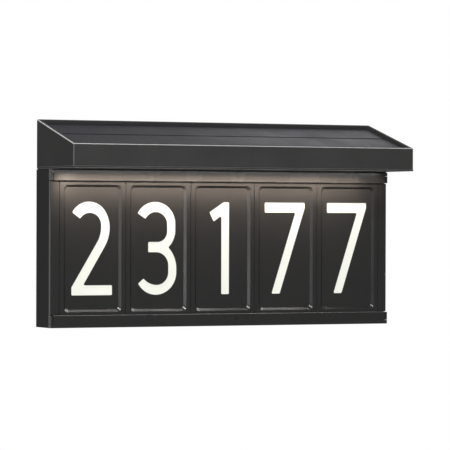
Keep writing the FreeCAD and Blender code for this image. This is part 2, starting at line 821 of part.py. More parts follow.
def solar_glass():
    x, along = tray_span(panel_fit)
    glass = block(x, (-along[1], -along[0]), (-panel_recess - glass_thickness, -panel_recess))
    glass = round_edges(glass, glass_thickness / 4, lambda at, way: at.z > -panel_recess - 0.01)
    glass.rotate(Vector(0, 0, 0), Vector(1, 0, 0), math.degrees(roof_angle))
    glass.translate(Vector(0, 0, back_lip))
    return glass


def solar_cells():
    """Two rows of cells under the glass, with a narrow gap between the rows."""
    x, along = tray_span(panel_fit + cell_margin)
    wide = (x[1] - x[0] - cell_gap * (cells_per_row - 1)) / cells_per_row
    long = (along[1] - along[0] - cell_gap * (cell_rows - 1)) / cell_rows
    top = -panel_recess - glass_thickness
    cells = []
    for column in range(cells_per_row):
        for row in range(cell_rows):
            x0 = x[0] + column * (wide + cell_gap)
            s0 = along[0] + row * (long + cell_gap)
            cells.append(roof_block((x0, x0 + wide), (s0, s0 + long), (top - cell_thickness, top)))
    return Part.makeCompound(cells)


def solar_backsheet():
    x, along = tray_span(panel_fit)
    top = -panel_recess - glass_thickness - cell_thickness
    return roof_block(x, along, (top - backsheet_thickness, top))


def solar_seal():
    x, along = tray_span(panel_fit)
    z = (-panel_recess - panel_stack, -panel_recess - panel_stack + seal_thickness)
    ring = roof_block(x, along, z)
    return ring.cut(roof_block(grown(x, -seal_width), grown(along, -seal_width), grown(z, 1)))


# ---- Downlight ----
def downlight_lens():
    """An opal strip that fills the slot in the canopy base, a little above its underside."""
    length, width = downlight_length / 2, downlight_slot / 2
    strip = block(around(0, length - lens_fit), around(downlight_y, width - lens_fit),
                  (canopy_bottom + lens_recess, base_top))
    flange = block(around(0, length + lens_flange), around(downlight_y, width + lens_flange),
                   (base_top, base_top + lens_flange_thickness))
    return join([strip, flange])


def downlight_board():
    low = base_top + downlight_board_height
    return block(around(0, downlight_length / 2), around(downlight_y, downlight_board_width / 2),
                 (low, low + board_thickness))


def downlight_leds():
    low = base_top + downlight_board_height
    return Part.makeCompound([block(around(x, led_size / 2), around(downlight_y, led_size / 2),
                                    (low - led_height, low))
                              for x in spread(downlight_led_count, downlight_length / 2 - led_end_margin)])


# ---- Battery ----
def battery_span():
    """The room along X for the cells with their contacts and springs."""
    half = (battery_count * battery_length + (battery_count - 1) * battery_gap) / 2
    return around(battery_middle_x, half + contact_spring_length + contact_thickness)


def door_opening():
    return battery_span(), around(battery_y, battery_radius + battery_fit)


def tongue_places():
    x0, x1 = battery_span()
    middle, half = (x0 + x1 - door_travel) / 2, (x1 - x0 - door_travel) / 2 - tongue_inset
    return [middle + x for x in spread(tongue_count, half)]


cell_axis = base_top + battery_radius + battery_fit


def battery_cells():
    """Two round cells in line; each has a small raised tip."""
    start = battery_span()[0] + contact_thickness + contact_spring_length
    cells = []
    for k in range(battery_count):
        x = start + k * (battery_length + battery_gap)
        body = rod(battery_radius, (x, battery_y, cell_axis), (1, 0, 0), battery_length)
        tip = rod(battery_radius / 3, (x + battery_length, battery_y, cell_axis), (1, 0, 0), battery_gap)
        cells.append(join([body, tip]) if k < battery_count - 1 else body)
    return Part.makeCompound(cells)


def battery_holder():
    """A cradle on the canopy base, open below so that the cells come out through the door."""
    x, y = door_opening()
    z = (base_top, base_top + holder_height)
    walls = block(grown(x, holder_wall), grown(y, holder_wall), z).cut(block(x, y, grown(z, 1)))
    tongue_room = block(grown(x, -holder_foot), grown(y, 2 * holder_wall),
                        (base_top, base_top + tongue_thickness + 2 * door_fit))
    return walls.cut(tongue_room)


def battery_contacts():
    """A plate with a spring at each end of the holder."""
    x0, x1 = battery_span()
    half = contact_size / 2
    plates = []
    for x, way in ((x0, 1), (x1, -1)):
        plate = block((x, x + way * contact_thickness), around(battery_y, half), around(cell_axis, half))
        spring = rod(contact_spring_radius, (x + way * contact_thickness, battery_y, cell_axis),
                     (way, 0, 0), contact_spring_length)
        plates.append(join([plate, spring]))
    return Part.makeCompound(plates)


def battery_door():
    """The door under the cells; it slides sideways until its tongues meet the notches in the base."""
    x, y = door_opening()
    cover = block(grown(x, door_lap - door_fit), grown(y, door_lap - door_fit),
                  (canopy_bottom, canopy_bottom + door_sink))
    pad = block((x[0] + door_fit, x[1] - door_travel - door_fit), grown(y, -door_fit),
                (canopy_bottom, base_top))
    tongues = []
    top = base_top + hang_gap + tongue_thickness
    for at in tongue_places():
        span = around(at, tongue_length / 2)
        tongues.append(block(span, grown(y, tongue_reach), (base_top + hang_gap, top)))
        tongues.append(block(span, grown(y, -door_fit), (base_top, top)))
    cell_room = rod(battery_radius + battery_fit, (x[0], battery_y, cell_axis), (1, 0, 0), x[1] - x[0])
    return join([cover, pad] + tongues).cut(cell_room)


# ---- Control board, switch and button ----
button_x = control_middle_x + button_offset_x
board_top = base_top + control_height + control_thickness


def control_legs():
    dx = control_length / 2 - leg_size
    dy = control_width / 2 - leg_size
    return [(control_middle_x + sx * dx, control_y + sy * dy) for sx in (-1, 1) for sy in (-1, 1)]


def control_board():
    return block(around(control_middle_x, control_length / 2), around(control_y, control_width / 2),
                 (board_top - control_thickness, board_top))


def board_components():
    """A choke, a capacitor, two chips and a plug on the top of the control board."""
    x, y, z = control_middle_x, control_y, board_top
    choke = rod(4.0, (x + 4, y + 5, z), (0, 0, 1), 3.5)
    capacitor = rod(2.5, (x + 14, y + 5, z), (0, 0, 1), 4.0)
    chip = block((x - 12, x - 6), (y - 4, y + 1), (z, z + 1.4))
    small_chip = block((x - 22, x - 18), (y + 3, y + 8), (z, z + 1.2))
    plug_x = x + board_plug_offset
    plug = block(around(plug_x, board_plug_width / 2), around(y, board_plug_width / 2),
                 (z, z + board_plug_height))
    return Part.makeCompound([choke, capacitor, chip, small_chip, plug])


def button_switch():
    """A push switch under the control board; its plunger runs in the bore."""
    top = board_top - control_thickness
    half = switch_size / 2
    body = block(around(button_x, half), around(control_y, half), (top - switch_height, top))
    bore = rod(plunger_radius + plunger_fit, (button_x, control_y, top - switch_height), (0, 0, 1),
               switch_height - switch_cap)
    return body.cut(bore)


plunger_bottom = canopy_bottom + button_recess + button_height


def switch_plunger():
    top = board_top - control_thickness - switch_cap - button_travel - plunger_fit
    return rod(plunger_radius, (button_x, control_y, plunger_bottom), (0, 0, 1), top - plunger_bottom)


def power_button():
    """A cap with a flange that keeps it inside the canopy base."""
    cap = rod(button_radius, (button_x, control_y, canopy_bottom + button_recess), (0, 0, 1), button_height)
    flange = rod(button_radius + button_flange, (button_x, control_y, base_top + hang_gap), (0, 0, 1),
                 button_flange_thickness)
    return join([cap, flange])


# ---- Leads inside the sign ----
lead_row_y = control_y + control_width / 2 - lead_row_inset
backlight_lead_x = control_middle_x + backlight_lead_offset
solar_lead_x = control_middle_x + solar_lead_offset
downlight_lead_x = control_middle_x + downlight_lead_offset


def solar_lead_start():
    """Where the solar lead leaves the underside of the solar panel."""
    below = panel_recess + panel_stack - seal_thickness
    y = rail_face + rail_stand / 2
    return solar_lead_x, y, roof_height(y, below)


def solar_lead():
    start = solar_lead_start()
    first = [at + lead_rise * way for at, way in zip(start, roof_inward)]
    return lead([start, first, (solar_lead_x, lead_row_y, board_top + lead_rise),
                 (solar_lead_x, lead_row_y, board_top)])


def backlight_lead():
    """From the control board over the downlight and down through the base and the housing's roof."""
    x, down = backlight_lead_x, -lead_hole_setback
    return lead([(x, lead_row_y, board_top), (x, lead_row_y, board_top + lead_rise),
                 (x, down, board_top + lead_rise), (x, down, connector_top)])


def downlight_lead():
    x = downlight_lead_x
    top = base_top + downlight_board_height + board_thickness
    return lead([(x, lead_row_y, board_top), (x, lead_row_y, board_top + lead_rise / 2),
                 (x, downlight_y, board_top + lead_rise / 2), (x, downlight_y, top)])


def battery_lead():
    start_x = control_middle_x + board_plug_offset + board_plug_width / 2
    end_x = battery_span()[0] - holder_wall
    high, low = board_top + board_plug_height / 2, base_top + holder_height / 2
    return lead([(start_x, control_y, high), (start_x + 2 * lead_rise, control_y, high),
                 (end_x - 2 * lead_rise, battery_y, low), (end_x, battery_y, low)])


# ---- Build every piece ----
def mirrored(shape):
    return shape.mirror(Vector(0, 0, 0), Vector(1, 0, 0))


bottom_cap_span = (rail_flange + cap_fit, bottom_rail_height - cap_fit)
top_cap_span = (top_rail_bottom + cap_fit, body_height - rail_flange - cap_fit)

pieces = {
    "wall_bracket": wall_bracket(),
    "back_cover": back_cover(),
    "back_gasket": back_gasket(),
    "back_screws": back_screws(),
    "housing": housing(),
    "diffuser": diffuser(),
    "reflector_frame": reflector_frame(),
    "backlight_board": backlight_board(),
    "backlight_leds": backlight_leds(),
    "bottom_rail": bottom_rail(),
    "top_rail": top_rail(),
    "end_strip_right": end_strip(),
    "end_strip_left": mirrored(end_strip()),
    "rail_cap_bottom_right": rail_cap(*bottom_cap_span),
    "rail_cap_top_right": rail_cap(*top_cap_span),
    "rail_cap_bottom_left": mirrored(rail_cap(*bottom_cap_span)),
    "rail_cap_top_left": mirrored(rail_cap(*top_cap_span)),
    "canopy_shell": canopy_shell(),
    "canopy_base": canopy_base(),
    "canopy_screws": canopy_screws(),
    "canopy_gasket": canopy_gasket(),
    "joining_screws": joining_screws(),
    "solar_glass": solar_glass(),
    "solar_cells": solar_cells(),
    "solar_backsheet": solar_backsheet(),
    "solar_seal": solar_seal(),
    "downlight_lens": downlight_lens(),
    "downlight_board": downlight_board(),
    "downlight_leds": downlight_leds(),
    "battery_cells": battery_cells(),
    "battery_holder": battery_holder(),
    "battery_contacts": battery_contacts(),
    "battery_door": battery_door(),
    "control_board": control_board(),
    "board_components": board_components(),
    "button_switch": button_switch(),
    "switch_plunger": switch_plunger(),
    "power_button": power_button(),
    "solar_lead": solar_lead(),
    "backlight_lead": backlight_lead(),
    "downlight_lead": downlight_lead(),
    "battery_lead": battery_lead(),
}
for k in range(tile_count):
    pieces[f"number_tile_{k + 1}"] = number_tile(k)
    pieces[f"numeral_{k + 1}"] = numeral(k)

os.makedirs("parts", exist_ok=True)
for name, shape in pieces.items():
    shape = shape.copy()
    shape.translate(Vector(0, 0, -bracket_middle))
    shape.exportStep(f"parts/{name}.step")
    box = shape.BoundBox
    print(f"{name}: solids {len(shape.Solids)} valid {shape.isValid()} volume {shape.Volume:.1f} "
          f"x {box.XMin:.1f} {box.XMax:.1f} y {box.YMin:.1f} {box.YMax:.1f} z {box.ZMin:.1f} {box.ZMax:.1f}")
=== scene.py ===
import math

import bmesh
import bpy
from mathutils import Matrix, Vector


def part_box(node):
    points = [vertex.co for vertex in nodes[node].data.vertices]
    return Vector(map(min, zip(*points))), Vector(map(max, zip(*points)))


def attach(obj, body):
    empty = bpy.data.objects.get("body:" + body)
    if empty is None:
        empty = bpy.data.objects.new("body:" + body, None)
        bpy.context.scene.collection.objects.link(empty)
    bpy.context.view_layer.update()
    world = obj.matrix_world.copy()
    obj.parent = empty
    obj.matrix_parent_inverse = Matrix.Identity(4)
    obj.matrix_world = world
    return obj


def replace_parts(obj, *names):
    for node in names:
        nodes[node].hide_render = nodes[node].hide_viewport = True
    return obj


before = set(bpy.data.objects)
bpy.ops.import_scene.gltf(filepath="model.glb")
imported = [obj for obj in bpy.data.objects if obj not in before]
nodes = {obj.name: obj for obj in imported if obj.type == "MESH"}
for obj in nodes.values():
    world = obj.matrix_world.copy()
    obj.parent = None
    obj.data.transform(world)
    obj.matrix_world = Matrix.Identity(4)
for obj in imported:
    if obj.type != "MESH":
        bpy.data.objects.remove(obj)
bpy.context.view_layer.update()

# ---- Camera ----
# The sign hangs at eye height and is seen from its left, from about three metres away
# through a long lens, so that its lines stay nearly parallel.
turn, tip, lean = 0.4437207, -0.0016922, 0.0029931
ahead = Vector((math.sin(turn) * math.cos(tip), math.cos(turn) * math.cos(tip), math.sin(tip)))
level = Vector((math.cos(turn), -math.sin(turn), 0))
upright = level.cross(ahead)
rightward = level * math.cos(lean) + upright * math.sin(lean)
upward = upright * math.cos(lean) - level * math.sin(lean)
lens = bpy.data.cameras.new("camera")
lens.sensor_width = 36.0
lens.lens = 233.451
lens.clip_end = 50.0
camera = bpy.data.objects.new("camera", lens)
camera.matrix_world = (Matrix.Translation((-1.349379, -2.883807, 0.034093))
                       @ Matrix((rightward, upward, -ahead)).transposed().to_4x4())
bpy.context.scene.collection.objects.link(camera)
bpy.context.scene.camera = camera
bpy.context.scene.view_settings.view_transform = "Standard"

# ---- Studio ----
# A pale round floor below the sign, which fades into a white surrounding and shows from above
# only. A small soft box high on the left, with a second in its place that shows in reflections
# only, draws the dish corners. A large one in front and one overhead fill, a narrow strip on
# the left runs down the upright edges, and one behind on the right lights the roof.
world = bpy.data.worlds.new("white room")
bpy.context.scene.world = world
world.use_nodes = True
room = world.node_tree
seen = room.nodes.new("ShaderNodeLightPath")
direct = room.nodes.new("ShaderNodeMath")
direct.operation = "MAXIMUM"
room.links.new(seen.outputs["Is Camera Ray"], direct.inputs[0])
room.links.new(seen.outputs["Is Glossy Ray"], direct.inputs[1])
shown = room.nodes.new("ShaderNodeMath")
shown.operation = "MAXIMUM"
room.links.new(direct.outputs[0], shown.inputs[0])
room.links.new(seen.outputs["Is Transmission Ray"], shown.inputs[1])
room_light, white = 0.15, 1.0
strength = room.nodes.new("ShaderNodeMapRange")
strength.inputs["To Min"].default_value = room_light
strength.inputs["To Max"].default_value = white
room.links.new(shown.outputs[0], strength.inputs["Value"])
room.nodes["Background"].inputs["Color"].default_value = (1, 1, 1, 1)
room.links.new(strength.outputs[0], room.nodes["Background"].inputs["Strength"])

floor_height, floor_radius, fade_start = -0.30, 1.05, 0.45
ground = bmesh.new()
bmesh.ops.create_circle(ground, cap_ends=True, segments=96, radius=floor_radius)
floor_mesh = bpy.data.meshes.new("floor")
ground.to_mesh(floor_mesh)
ground.free()
floor = bpy.data.objects.new("floor", floor_mesh)
floor.location = (0, -0.05, floor_height)
bpy.context.scene.collection.objects.link(floor)
paper = bpy.data.materials.new("floor paper")
paper.use_nodes = True
sheet = paper.node_tree
spot = sheet.nodes.new("ShaderNodeTexCoord")
reach = sheet.nodes.new("ShaderNodeVectorMath")
reach.operation = "LENGTH"
sheet.links.new(spot.outputs["Object"], reach.inputs[0])
fade = sheet.nodes.new("ShaderNodeMapRange")
fade.interpolation_type = "SMOOTHSTEP"
fade.inputs["From Min"].default_value = fade_start
fade.inputs["From Max"].default_value = floor_radius
sheet.links.new(reach.outputs["Value"], fade.inputs["Value"])
sheet.nodes["Principled BSDF"].inputs["Base Color"].default_value = (0.86, 0.86, 0.855, 1)
sheet.nodes["Principled BSDF"].inputs["Roughness"].default_value = 0.9
clear = sheet.nodes.new("ShaderNodeBsdfTransparent")
side = sheet.nodes.new("ShaderNodeNewGeometry")
hidden = sheet.nodes.new("ShaderNodeMath")
hidden.operation = "MAXIMUM"
sheet.links.new(fade.outputs[0], hidden.inputs[0])
sheet.links.new(side.outputs["Backfacing"], hidden.inputs[1])
edge = sheet.nodes.new("ShaderNodeMixShader")
sheet.links.new(hidden.outputs[0], edge.inputs[0])
sheet.links.new(sheet.nodes["Principled BSDF"].outputs[0], edge.inputs[1])
sheet.links.new(clear.outputs[0], edge.inputs[2])
sheet.links.new(edge.outputs[0], sheet.nodes["Material Output"].inputs["Surface"])
floor_mesh.materials.append(paper)


def soft_lamp(name, place, aim, width, height, power, colour=(1, 1, 1)):
    """A soft box that stands at a place and faces a point."""
    light = bpy.data.lights.new(name, "AREA")
    light.shape = "RECTANGLE"
    light.size, light.size_y = width, height
    light.energy = power
    light.color = colour
    lamp = bpy.data.objects.new(name, light)
    lamp.matrix_world = (Matrix.Translation(place)
                         @ (Vector(aim) - Vector(place)).to_track_quat("-Z", "Y").to_matrix().to_4x4())
    bpy.context.scene.collection.objects.link(lamp)
    return lamp


key_place, key_size, sign_middle = (-1.46, -1.66, 1.36), 0.26, (0, 0, 0)
soft_lamp("key lamp", key_place, sign_middle, key_size, key_size, 17)
soft_lamp("front lamp", (-0.75, -1.6, 0.9), (-0.05, 0, 0), 0.9, 0.9, 22)
soft_lamp("top lamp", (-0.35, -0.5, 2.1), sign_middle, 1.2, 1.2, 10)
soft_lamp("strip lamp", (-2.2, -1.05, 0.1), sign_middle, 0.12, 1.2, 6)
soft_lamp("rear lamp", (1.62, 2.25, 1.35), (0.1, 0, 0.1), 0.8, 0.8, 9)
sparkle = soft_lamp("corner glint", key_place, sign_middle, key_size, key_size, 42)
sparkle.visible_diffuse = False


# ---- Housing ----
# The deep box behind the tiles: black ABS with the fine grain of a spark-eroded mould, moulded
# in one shot and open towards the wall. Its long edges are a little lighter, partly rubbed wear
# and partly a painted highlight.
def part(tree, kind, settings=None, **values):
    """A node of one kind; values are sockets to link or numbers to set, by socket name."""
    made = tree.nodes.new("ShaderNode" + kind)
    for name, value in (settings or {}).items():
        setattr(made, name, value)
    for name, value in values.items():
        by_number = name[1:].isdigit()
        socket = made.inputs[int(name[1:]) if by_number else name.replace("_", " ")]
        if isinstance(value, bpy.types.NodeSocket):
            tree.links.new(value, socket)
        else:
            socket.default_value = value
    return made.outputs


def maths(tree, operation, *values):
    """One step of arithmetic on sockets or numbers."""
    return part(tree, "Math", {"operation": operation},
                **{f"_{k}": value for k, value in enumerate(values)})[0]


def finish_of(name):
    """A new material: its tree, its shader and the object's own coordinates."""
    material = bpy.data.materials.new(name)
    material.use_nodes = True
    tree = material.node_tree
    return material, tree, tree.nodes["Principled BSDF"], part(tree, "TexCoord")["Object"]


def between(tree, factor, low, high):
    """A colour between two others."""
    part(tree, "Mix", {"data_type": "RGBA"})
    mix = tree.nodes[-1]
    tree.links.new(factor, mix.inputs[0])
    for socket, value in ((mix.inputs[6], low), (mix.inputs[7], high)):
        if isinstance(value, bpy.types.NodeSocket):
            tree.links.new(value, socket)
        else:
            socket.default_value = (*value, 1)
    return mix.outputs[2]


def ranged(tree, value, low, high, to_low, to_high):
    """A value taken from one range to another, held at its ends."""
    return part(tree, "MapRange", Value=value, From_Min=low, From_Max=high,
                To_Min=to_low, To_Max=to_high)["Result"]


noise_span = (0.3, 0.7)  # holds nearly all the values of a noise


def edge_mask(tree, radius):
    """Near 1 on outer and inner edges, 0 on flat faces."""
    rounded = part(tree, "Bevel", {"samples": 4}, Radius=radius)["Normal"]
    flat = part(tree, "NewGeometry")["Normal"]
    same = part(tree, "VectorMath", {"operation": "DOT_PRODUCT"}, _0=rounded, _1=flat)["Value"]
    return ranged(tree, same, 1.0, 0.8, 0.0, 1.0)


def roundings(tree, flats):
    """Near 1 where a surface faces none of the flat directions, so on rounded edges only."""
    facing = part(tree, "NewGeometry")["Normal"]
    nearest = None
    for flat in flats:
        match = part(tree, "VectorMath", {"operation": "DOT_PRODUCT"}, _0=facing, _1=flat)["Value"]
        if nearest is not None:
            match = maths(tree, "MAXIMUM", nearest, match)
        nearest = match
    return ranged(tree, nearest, 0.992, 0.955, 0.0, 1.0)


def moulded_plastic(name, colour, roughness, grain, shine=0.3, edge_lightening_amount=0.35, relief=0.00002,
                    flats=(), upright_highlight=0.1, top_highlight=0.1, under_highlight=0.1):
    """Moulded plastic: cloudy tone, fine grain as wide as given, and lighter edges, partly rubbed
    wear and partly a painted highlight.

    With flats, a painted highlight lies on the rounded edges between those faces, except next to
    the wall: one grey where they stand upright, another where they face up and a third underneath."""
    material, tree, shader, place = finish_of(name)
    cloud = part(tree, "TexNoise", Vector=place, Scale=18.0, Detail=5.0, Roughness=0.6)["Fac"]
    fine = part(tree, "TexNoise", Vector=place, Scale=1.0 / grain, Detail=3.0, Roughness=0.5)["Fac"]
    spread = 0.07
    body = between(tree, ranged(tree, cloud, 0.35, 0.65, 0, 1),
                   [c * (1 - spread) for c in colour], [c * (1 + spread) for c in colour])
    scuff_and_highlight_noise = part(tree, "TexNoise", Vector=place, Scale=160.0, Detail=6.0, Roughness=0.75)["Fac"]
    # Lighter, slightly glossier edges: partly rubbed wear and partly a painted highlight.
    edge_lightening = maths(tree, "MULTIPLY", edge_mask(tree, 0.0006), ranged(tree, scuff_and_highlight_noise, 0.45, 0.62, 0.25, 1.0))
    edge_lightening = maths(tree, "MULTIPLY", edge_lightening, edge_lightening_amount)
    tone = between(tree, edge_lightening, body, [c * 2.6 + 0.01 for c in colour])
    # With flats: a painted highlight in pale grey on the rounded edges, its grey set by which way the edge faces.
    if flats:
        facing = part(tree, "SeparateXYZ", Vector=part(tree, "NewGeometry")["Normal"])
        painted_edge_highlight = between(tree, ranged(tree, facing["Z"], 0.05, 0.5, 0, 1), [upright_highlight] * 3,
                          [top_highlight] * 3)
        painted_edge_highlight = between(tree, ranged(tree, facing["Z"], -0.5, -0.05, 1, 0), painted_edge_highlight, [under_highlight] * 3)
        painted_highlight_mask = maths(tree, "MULTIPLY", roundings(tree, flats),
                        ranged(tree, scuff_and_highlight_noise, 0.3, 0.6, 0.7, 1.0))
        painted_highlight_mask = maths(tree, "MULTIPLY", painted_highlight_mask, ranged(tree, facing["Y"], 0.1, 0.3, 1, 0))
        tone = between(tree, painted_highlight_mask, tone, painted_edge_highlight)
    tree.links.new(tone, shader.inputs["Base Color"])
    rough = ranged(tree, cloud, *noise_span, roughness - 0.04, roughness + 0.05)
    rough = maths(tree, "MULTIPLY_ADD", edge_lightening, -0.1, rough)
    tree.links.new(rough, shader.inputs["Roughness"])
    shader.inputs["Specular IOR Level"].default_value = shine
    bump = part(tree, "Bump", Strength=0.35, Distance=relief, Height=fine)["Normal"]
    tree.links.new(bump, shader.inputs["Normal"])
    return material


def finish_node(name, material):
    """Gives a CAD piece its material in every slot."""
    for held in nodes[name].material_slots:
        held.material = material


housing_plastic = moulded_plastic("housing plastic", (0.0190, 0.0190, 0.0188), 0.68, 0.00035, 0.03)
finish_node("housing", housing_plastic)

# ---- Light box ----
# An opal acrylic sheet closes the light window from inside; behind it a white frame makes one
# light cell for each tile, and a white board with four LEDs in each cell closes the back.
sheet_opal, tree, shader, place = finish_of("opal sheet")
haze = part(tree, "TexNoise", Vector=place, Scale=60.0, Detail=4.0)["Fac"]
tree.links.new(between(tree, haze, (0.80, 0.79, 0.76), (0.88, 0.87, 0.84)), shader.inputs["Base Color"])
tree.links.new(ranged(tree, haze, *noise_span, 0.28, 0.4), shader.inputs["Roughness"])
# The sheet's glow is painted: it gives light of its own in place of the LED light through it.
shader.inputs["Emission Color"].default_value = (1.0, 0.95, 0.86, 1)
shader.inputs["Emission Strength"].default_value = 0.4
finish_node("diffuser", sheet_opal)

white_styrene = moulded_plastic("white styrene", (0.80, 0.80, 0.78), 0.5, 0.0004, 0.5, 0.05)
finish_node("reflector_frame", white_styrene)

board_white, tree, shader, place = finish_of("white board")
dust = part(tree, "TexNoise", Vector=place, Scale=90.0, Detail=5.0)["Fac"]
tracks = part(tree, "TexBrick", Vector=place, Scale=90.0, Mortar_Size=0.03, Color1=(1, 1, 1, 1),
              Color2=(0.94, 0.94, 0.94, 1), Mortar=(0.78, 0.78, 0.76, 1))["Color"]
mask = between(tree, ranged(tree, dust, *noise_span, 0, 1), (0.74, 0.75, 0.74), (0.80, 0.80, 0.79))
part(tree, "Mix", {"data_type": "RGBA", "blend_type": "MULTIPLY"})
mix = tree.nodes[-1]
mix.inputs[0].default_value = 1.0
tree.links.new(mask, mix.inputs[6])
tree.links.new(tracks, mix.inputs[7])
tree.links.new(mix.outputs[2], shader.inputs["Base Color"])
tree.links.new(ranged(tree, dust, *noise_span, 0.34, 0.5), shader.inputs["Roughness"])
finish_node("backlight_board", board_white)
finish_node("downlight_board", board_white)


def led_package(name, warmth, glow):
    """A white LED body with a yellow phosphor; it glows."""
    material, tree, shader, place = finish_of(name)
    speck = part(tree, "TexNoise", Vector=place, Scale=900.0, Detail=2.0)["Fac"]
    tree.links.new(between(tree, ranged(tree, speck, 0.4, 0.6, 0, 1), (0.85, 0.62, 0.16),
                           (0.90, 0.76, 0.34)), shader.inputs["Base Color"])
    tree.links.new(ranged(tree, speck, *noise_span, 0.35, 0.55), shader.inputs["Roughness"])
    shader.inputs["Emission Color"].default_value = (*warmth, 1)
    shader.inputs["Emission Strength"].default_value = glow
    return material


finish_node("backlight_leds", led_package("backlight led", (1.0, 0.94, 0.84), 3.0))
finish_node("downlight_leds", led_package("downlight led", (1.0, 0.78, 0.55), 3.0))

# ---- Rails ----
# Two black rails with a flange against the housing and a lip in front of the tiles, pressed
# on by pegs. They are smoother than the housing.
square_faces = [(1, 0, 0), (-1, 0, 0), (0, 1, 0), (0, -1, 0), (0, 0, 1), (0, 0, -1)]
# Painted highlights in pale grey run along the rails' rounded edges, lightest on top.
rail_plastic = moulded_plastic("rail plastic", (0.0150, 0.0148, 0.0145), 0.28, 0.00025, 0.15,
                               flats=square_faces, upright_highlight=0.045, top_highlight=0.12, under_highlight=0.03)
for name in ("bottom_rail", "top_rail"):
    finish_node(name, rail_plastic)

# ---- Number tiles and numerals ----
# Five black ABS tiles with a dished face, each cut through for an opal acrylic numeral that
# sits half a millimetre below the dish. The light from behind each numeral is painted as its
# own glow, and the tiles' edges are a little lighter, partly rubbed wear and partly a painted
# highlight.
tile_plastic = moulded_plastic("tile plastic", (0.0128, 0.0127, 0.0125), 0.17, 0.0003, 0.18)
numeral_opal, tree, shader, place = finish_of("numeral opal")
drift = part(tree, "TexNoise", Vector=place, Scale=26.0, Detail=3.0)["Fac"]
tree.links.new(between(tree, ranged(tree, drift, *noise_span, 0, 1), (0.20, 0.20, 0.185),
                       (0.24, 0.24, 0.225)), shader.inputs["Base Color"])
tree.links.new(ranged(tree, drift, *noise_span, 0.3, 0.42), shader.inputs["Roughness"])
shader.inputs["Specular IOR Level"].default_value = 0.3
# Painted glow: the numeral gives light of its own in place of the backlight through it.
shader.inputs["Emission Color"].default_value = (0.985, 1.0, 0.905, 1)
shader.inputs["Emission Strength"].default_value = 0.67
for k in range(1, 6):
    finish_node(f"number_tile_{k}", tile_plastic)
    finish_node(f"numeral_{k}", numeral_opal)

# ---- End strips and rail caps ----
# Plain fillers at the ends of the row of tiles, and a small pull-off cap on each rail end;
# moulded in the same black ABS as the tiles.
for name in ("end_strip_left", "end_strip_right"):
    finish_node(name, tile_plastic)
for name in ("rail_cap_top_left", "rail_cap_bottom_left", "rail_cap_top_right", "rail_cap_bottom_right"):
    finish_node(name, rail_plastic)

# ---- Back cover, gasket and screws ----
# A flat black ABS cover with two hangers closes the housing; it presses on a rubber ring and
# is held by eight zinc-plated screws.
finish_node("back_cover", moulded_plastic("cover plastic", (0.0150, 0.0152, 0.0155), 0.62, 0.0005))


def soft_rubber(name, colour):
    """Matt rubber with a fine open skin."""
    material, tree, shader, place = finish_of(name)
    skin = part(tree, "TexNoise", Vector=place, Scale=1400.0, Detail=2.0)["Fac"]
    bloom = part(tree, "TexNoise", Vector=place, Scale=40.0, Detail=4.0)["Fac"]
    tree.links.new(between(tree, bloom, [c * 0.8 for c in colour], [c * 1.5 for c in colour]),
                   shader.inputs["Base Color"])
    tree.links.new(ranged(tree, bloom, *noise_span, 0.75, 0.9), shader.inputs["Roughness"])
    shader.inputs["Specular IOR Level"].default_value = 0.25
    tree.links.new(part(tree, "Bump", Strength=0.4, Distance=0.00005, Height=skin)["Normal"],
                   shader.inputs["Normal"])
    return material


black_rubber = soft_rubber("black rubber", (0.010, 0.010, 0.010))
for name in ("back_gasket", "canopy_gasket", "solar_seal"):
    finish_node(name, black_rubber)


def bare_metal(name, colour, roughness, scratch=500.0, edge_lightening_amount=0.5):
    """Plated metal with fine scratches, a cloudy tarnish and bright edges."""
    material, tree, shader, place = finish_of(name)
    cloud = part(tree, "TexNoise", Vector=place, Scale=70.0, Detail=6.0, Roughness=0.7)["Fac"]
    drawn = part(tree, "Mapping", Vector=place, Scale=(0.06, 1.0, 1.0))["Vector"]
    lines = part(tree, "TexNoise", Vector=drawn, Scale=scratch * 4, Detail=2.0)["Fac"]
    edge_lightening = part(tree, "Math", {"operation": "MULTIPLY"}, _0=edge_mask(tree, 0.0004), _1=edge_lightening_amount)[0]
    body = between(tree, ranged(tree, cloud, 0.35, 0.65, 0, 1), [c * 0.82 for c in colour], colour)
    tree.links.new(between(tree, edge_lightening, body, [min(1.0, c * 1.3 + 0.05) for c in colour]),
                   shader.inputs["Base Color"])
    tree.links.new(ranged(tree, cloud, *noise_span, roughness - 0.06, roughness + 0.1),
                   shader.inputs["Roughness"])
    shader.inputs["Metallic"].default_value = 1.0
    tree.links.new(part(tree, "Bump", Strength=0.2, Distance=0.00001, Height=lines)["Normal"],
                   shader.inputs["Normal"])
    return material


screw_zinc = bare_metal("zinc screw", (0.55, 0.56, 0.57), 0.34)


merge_distance, crease = 0.000002, math.radians(35)


def finished_mesh(name, shape):
    """Closes, cleans and shades a small mesh, and gives it as mesh data."""
    open_edges = [edge for edge in shape.edges if edge.is_boundary]
    if open_edges:
        bmesh.ops.holes_fill(shape, edges=open_edges, sides=0)
    bmesh.ops.remove_doubles(shape, verts=shape.verts[:], dist=merge_distance)
    bmesh.ops.recalc_face_normals(shape, faces=shape.faces[:])
    for face in shape.faces:
        face.smooth = True
    mesh = bpy.data.meshes.new(name)
    shape.to_mesh(mesh)
    shape.free()
    mesh.set_sharp_from_angle(angle=crease)
    return mesh


def spun(profile, steps):
    """A half outline of (radius, height) pairs, turned once round Z."""
    shape = bmesh.new()
    points = [shape.verts.new((radius, 0, height)) for radius, height in profile]
    chain = [shape.edges.new(pair) for pair in zip(points, points[1:])]
    bmesh.ops.spin(shape, geom=points + chain, cent=(0, 0, 0), axis=(0, 0, 1), dvec=(0, 0, 0),
                   angle=2 * math.pi, steps=steps, use_merge=True)
    bmesh.ops.remove_doubles(shape, verts=shape.verts[:], dist=merge_distance)
    return shape


